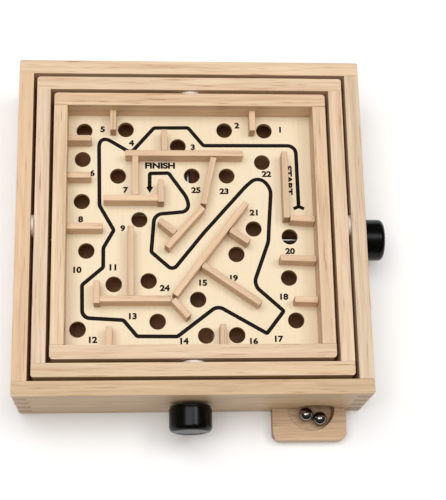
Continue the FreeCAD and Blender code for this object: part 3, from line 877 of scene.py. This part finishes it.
class TILT_MAZE_OT_box_panels(bpy.types.Operator):
    """Make the four finger-jointed panels of the box"""

    bl_idname = "tilt_maze.box_panels"
    bl_label = "Box Panels"

    def execute(self, context):
        colours = context.scene.maze_colours
        finish = finish_of("box_pine", pine_finish, "box_pine", colours.box_pine)
        for node in BOX_PANELS:
            timber_piece(node, finish, context.scene.maze_sizes.panel_easing)
        return {"FINISHED"}


class TILT_MAZE_OT_ball_plate(bpy.types.Operator):
    """Make the plate with two scoops that holds the balls"""

    bl_idname = "tilt_maze.ball_plate"
    bl_label = "Ball Plate"

    def execute(self, context):
        colours = context.scene.maze_colours
        finish = finish_of("box_pine", pine_finish, "box_pine", colours.box_pine)
        timber_piece("ball_plate", finish, context.scene.maze_sizes.panel_easing, 0.0)
        return {"FINISHED"}


class TILT_MAZE_OT_floors(bpy.types.Operator):
    """Finish the base, the sloping floor and its battens"""

    bl_idname = "tilt_maze.floors"
    bl_label = "Floors"

    def execute(self, context):
        colours = context.scene.maze_colours
        plain = plywood_finish("plain_plywood", colours.plywood)
        dress("base_board", plain)
        dress("floor_battens", plain)
        # The lighter hardboard paints in light on the floor that shows through the holes.
        dress("sloping_floor", plywood_finish("brown_hardboard", colours.hardboard_painted_light))
        return {"FINISHED"}


class TILT_MAZE_OT_gimbal_rails(bpy.types.Operator):
    """Make the four rails of the outer tilting frame"""

    bl_idname = "tilt_maze.gimbal_rails"
    bl_label = "Outer Frame Rails"

    def execute(self, context):
        finish = pine_finish("gimbal_pine", context.scene.maze_colours.gimbal_pine)
        for node in GIMBAL_RAILS:
            timber_piece(node, finish, context.scene.maze_sizes.rail_easing)
        return {"FINISHED"}


class TILT_MAZE_OT_tray_rails(bpy.types.Operator):
    """Make the four rails of the inner tilting frame"""

    bl_idname = "tilt_maze.tray_rails"
    bl_label = "Inner Frame Rails"

    def execute(self, context):
        finish = pine_finish("tray_pine", context.scene.maze_colours.tray_pine)
        for node in TRAY_RAILS:
            timber_piece(node, finish, context.scene.maze_sizes.rail_easing)
        return {"FINISHED"}


class TILT_MAZE_OT_board(bpy.types.Operator):
    """Make the maze board with its numbered holes"""

    bl_idname = "tilt_maze.board"
    bl_label = "Maze Board"

    def execute(self, context):
        sizes = context.scene.maze_sizes
        fitting_piece("maze_board", board_finish(), sizes.board_easing)
        return {"FINISHED"}


class TILT_MAZE_OT_walls(bpy.types.Operator):
    """Make the wooden strips that wall the maze"""

    bl_idname = "tilt_maze.walls"
    bl_label = "Maze Walls"

    def execute(self, context):
        finish = pine_finish("wall_pine", context.scene.maze_colours.wall_pine, 0.8)
        for node in WALLS:
            timber_piece(node, finish, context.scene.maze_sizes.wall_easing, spread=WALL_SPREAD)
        return {"FINISHED"}


class TILT_MAZE_OT_print(bpy.types.Operator):
    """Make the printed line, the hole numbers and the two words"""

    bl_idname = "tilt_maze.print"
    bl_label = "Print"

    def execute(self, context):
        sizes = context.scene.maze_sizes
        finish = ink_finish()
        low = BOARD_TOP - sizes.ink_height
        high = BOARD_TOP + sizes.ink_height
        route = printed_stroke(MAZE_LINE, low, high)
        line = add_piece("maze_line", route, finish, "tray")
        widen(line, sizes.line_width)
        head = printed_slab(ARROW_HEAD, low, high)
        add_piece("maze_line_arrow", head, finish, "tray")
        for side, prong in zip(("left", "right"), TAIL_PRONGS):
            stroke = printed_stroke(prong, low, high)
            piece = add_piece(f"maze_line_{side}_prong", stroke, finish, "tray")
            widen(piece, sizes.line_width * 0.9)
        digits = bmesh.new()
        for text, (x, y) in NUMBERS.items():
            lettering(digits, text, sizes.digit_height, None, at(x, y))
        add_piece("hole_numbers", digits, finish, "tray")
        left, right, level = FINISH_WORD
        finish_word = bmesh.new()
        lettering(
            finish_word,
            "FINISH",
            sizes.word_height,
            (right - left) * MM,
            at((left + right) / 2, level),
        )
        add_piece("finish_word", finish_word, finish, "tray")
        back, front, across = START_WORD
        start_word = bmesh.new()
        lettering(
            start_word,
            "START",
            sizes.word_height,
            (back - front) * MM,
            at(across, (back + front) / 2, -90),
        )
        add_piece("start_word", start_word, finish, "tray")
        return {"FINISHED"}


class TILT_MAZE_OT_knobs(bpy.types.Operator):
    """Make the two moulded knobs"""

    bl_idname = "tilt_maze.knobs"
    bl_label = "Knobs"

    def execute(self, context):
        sizes = context.scene.maze_sizes
        finish = plastic_finish()
        for node, outward in (("front_knob", Vector((0, -1, 0))), ("side_knob", Vector((1, 0, 0)))):
            low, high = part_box(node)
            middle = (low + high) / 2
            reach = abs((high - low).dot(outward))
            radius = (high.z - low.z) / 2
            foot = middle - outward * reach / 2
            dish = sizes.knob_dish
            shape = turned(
                (
                    (0.0, reach - dish, 0.0),
                    (radius * 0.62, reach - dish, 1.0 * MM),
                    (radius * 0.68, reach, 0.6 * MM),
                    (radius, reach, sizes.knob_easing),
                    (radius, 1.6 * MM, 0.3 * MM),
                    (radius - 0.5 * MM, 1.2 * MM, 0.2 * MM),
                    (radius - 0.5 * MM, 0.0, 0.3 * MM),
                    (0.0, 0.0, 0.0),
                )
            )
            stand(shape, foot, foot + outward)
            piece = add_piece(
                node + "_moulded", shape, finish, BODY_OF[node], [node]
            )
            even_shading(piece)
        return {"FINISHED"}


class TILT_MAZE_OT_shafts(bpy.types.Operator):
    """Finish the steel shafts, the pivot pins and the cord hooks"""

    bl_idname = "tilt_maze.shafts"
    bl_label = "Shafts, Pins and Hooks"

    def execute(self, context):
        sizes = context.scene.maze_sizes
        steel = context.scene.maze_colours.steel
        finish = finish_of("drawn_steel", steel_finish, "drawn_steel", steel, 0.28, 0.6)
        for node in ("front_shaft", "side_shaft", "gimbal_pivot_pins", "tray_pivot_pins"):
            fitting_piece(node, finish, sizes.fitting_easing)
        for node in ("gimbal_cord_hooks", "tray_cord_hooks"):
            dress(node, finish)
        return {"FINISHED"}


class TILT_MAZE_OT_washers(bpy.types.Operator):
    """Make the pivot washers and the shaft rings"""

    bl_idname = "tilt_maze.washers"
    bl_label = "Washers and Rings"

    def execute(self, context):
        finish = nylon_finish()
        for node, slot in SLOT_OF.items():
            if slot == "washer_plastic":
                fitting_piece(node, finish, context.scene.maze_sizes.fitting_easing)
        return {"FINISHED"}


class TILT_MAZE_OT_cords(bpy.types.Operator):
    """Make the drive cords' turns round the shafts and their springs"""

    bl_idname = "tilt_maze.cords"
    bl_label = "Drive Cords and Springs"

    def execute(self, context):
        sizes = context.scene.maze_sizes
        finish = cord_finish()
        for node in ("gimbal_drive_cord", "tray_drive_cord"):
            dress(node, finish)
        for node, axis in (("front_cord_turns", 1), ("side_cord_turns", 0)):
            low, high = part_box(node)
            reach = (high - low)[axis]
            across = high.z - low.z
            turns = 3
            cord = reach / turns / 2
            shape = wound_wire(reach - 2 * cord, across / 2 - cord, cord, turns - 1)
            start, end = ends_of(node, axis)
            outward = (end - start).normalized()
            stand(shape, start + outward * cord, end)
            add_piece(node + "_wound", shape, finish, BODY_OF[node], [node])
        steel = context.scene.maze_colours.steel
        metal = finish_of("drawn_steel", steel_finish, "drawn_steel", steel, 0.28, 0.6)
        for node, axis in (("gimbal_cord_spring", 1), ("tray_cord_spring", 0)):
            start, end = ends_of(node, axis)
            reach = (end - start).length
            outer = max((vert.co - start).length for vert in frame["nodes"][node].data.vertices
                        if (vert.co - start).length < reach / 2)
            wire = sizes.spring_wire / 2
            shape = wound_wire(reach - 2 * wire, outer - wire, wire, sizes.spring_turns)
            stand(shape, start + (end - start).normalized() * wire, end)
            add_piece(node + "_wound", shape, metal, BODY_OF[node], [node])
        return {"FINISHED"}


class TILT_MAZE_OT_balls(bpy.types.Operator):
    """Make the two polished steel balls"""

    bl_idname = "tilt_maze.balls"
    bl_label = "Steel Balls"

    def execute(self, context):
        metal = context.scene.maze_colours.ball_steel
        # The darkened ball steel paints in the dark surroundings that the balls reflect.
        finish = steel_finish("polished_ball_steel", metal, 0.04, 0.25)
        for node in ("left_ball", "right_ball"):
            low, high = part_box(node)
            shape = bmesh.new()
            bmesh.ops.create_icosphere(shape, subdivisions=5, radius=(high.z - low.z) / 2)
            bmesh.ops.translate(shape, verts=shape.verts, vec=(low + high) / 2)
            add_piece(node + "_polished", shape, finish, BODY_OF[node], [node])
        return {"FINISHED"}


class TILT_MAZE_OT_stage(bpy.types.Operator):
    """Set the pale floor, the soft lights and the camera"""

    bl_idname = "tilt_maze.stage"
    bl_label = "Studio"

    def execute(self, context):
        stage = context.scene.maze_stage
        finish = Finish("studio_floor")
        finish.shade({"Base Color": FLOOR_WHITE, "Roughness": 0.9, "Specular IOR Level": 0.1})
        shape = bmesh.new()
        bmesh.ops.create_grid(shape, x_segments=1, y_segments=1, size=FLOOR_HALF)
        mesh = bpy.data.meshes.new("studio_floor")
        shape.to_mesh(mesh)
        shape.free()
        mesh.materials.append(finish.material)
        floor = bpy.data.objects.new("studio_floor", mesh)
        context.scene.collection.objects.link(floor)
        self.add_light(context, "key_light", stage.key_power, *KEY_LIGHT)
        self.add_light(context, "fill_light", stage.fill_power, *FILL_LIGHT)
        context.scene.world = self.make_sky(stage.sky_strength)
        context.scene.view_settings.view_transform = "Standard"
        lens = bpy.data.cameras.new("maze_camera")
        lens.lens = stage.lens
        lens.sensor_width = 36.0
        lens.sensor_fit = "AUTO"
        lens.clip_start = 0.01
        camera = bpy.data.objects.new("maze_camera", lens)
        camera.location = CAMERA_PLACE
        camera.rotation_euler = [math.radians(turn) for turn in CAMERA_TURN]
        context.scene.collection.objects.link(camera)
        context.scene.camera = camera
        return {"FINISHED"}

    @staticmethod
    def make_sky(strength):
        """Even light that fades towards the horizon and is dim in polished things."""
        world = bpy.data.worlds.new("studio_sky")
        world.use_nodes = True
        sky = Nodes(world.node_tree)
        toward = sky.node("TexCoord", output="Generated")
        height = sky.node("SeparateXYZ", None, {"Vector": toward}).out("Z")
        lit = height.above(-0.1, 0.9) * 0.9 + 0.3
        polished = sky.node("LightPath", output="Is Glossy Ray")
        backdrop = sky.tree.nodes["Background"]
        backdrop.inputs["Color"].default_value = SKY_TINT
        sky.join(backdrop.inputs["Strength"], lit * strength * (1.0 - polished * 0.85))
        return world

    @staticmethod
    def add_light(context, name, power, size, place):
        """Hangs a square soft light that faces the middle of the box."""
        lamp = bpy.data.lights.new(name, "AREA")
        lamp.energy = power
        lamp.size = size
        holder = bpy.data.objects.new(name, lamp)
        holder.location = place
        aim = LIGHT_AIM - Vector(place)
        holder.rotation_euler = aim.to_track_quat("-Z", "Y").to_euler()
        context.scene.collection.objects.link(holder)


OPERATORS = (
    TILT_MAZE_OT_stage,
    TILT_MAZE_OT_box_panels,
    TILT_MAZE_OT_ball_plate,
    TILT_MAZE_OT_floors,
    TILT_MAZE_OT_gimbal_rails,
    TILT_MAZE_OT_tray_rails,
    TILT_MAZE_OT_board,
    TILT_MAZE_OT_walls,
    TILT_MAZE_OT_print,
    TILT_MAZE_OT_knobs,
    TILT_MAZE_OT_shafts,
    TILT_MAZE_OT_washers,
    TILT_MAZE_OT_cords,
    TILT_MAZE_OT_balls,
)


class TILT_MAZE_PT_panel(bpy.types.Panel):
    """Lists the game's sizes, colours and pieces in the sidebar"""

    bl_idname = "TILT_MAZE_PT_panel"
    bl_label = "Tilt Maze"
    bl_space_type = "VIEW_3D"
    bl_region_type = "UI"
    bl_category = "Tilt Maze"

    def draw(self, context):
        scene = context.scene
        for settings in (scene.maze_sizes, scene.maze_colours, scene.maze_stage):
            column = self.layout.column(align=True)
            for name in settings.__annotations__:
                column.prop(settings, name)
        column = self.layout.column(align=True)
        for operator in OPERATORS:
            column.operator(operator.bl_idname)


SETTINGS = (MazeSizes, MazeColours, MazeStage)


def register():
    for part in SETTINGS + OPERATORS + (TILT_MAZE_PT_panel,):
        bpy.utils.register_class(part)
    bpy.types.Scene.maze_sizes = bpy.props.PointerProperty(type=MazeSizes)
    bpy.types.Scene.maze_colours = bpy.props.PointerProperty(type=MazeColours)
    bpy.types.Scene.maze_stage = bpy.props.PointerProperty(type=MazeStage)


def unregister():
    del bpy.types.Scene.maze_stage
    del bpy.types.Scene.maze_colours
    del bpy.types.Scene.maze_sizes
    for part in reversed(SETTINGS + OPERATORS + (TILT_MAZE_PT_panel,)):
        bpy.utils.unregister_class(part)


def main():
    register()
    for operator in OPERATORS:
        getattr(bpy.ops.tilt_maze, operator.bl_idname.split(".")[1])()


if __name__ == "__main__":
    main()
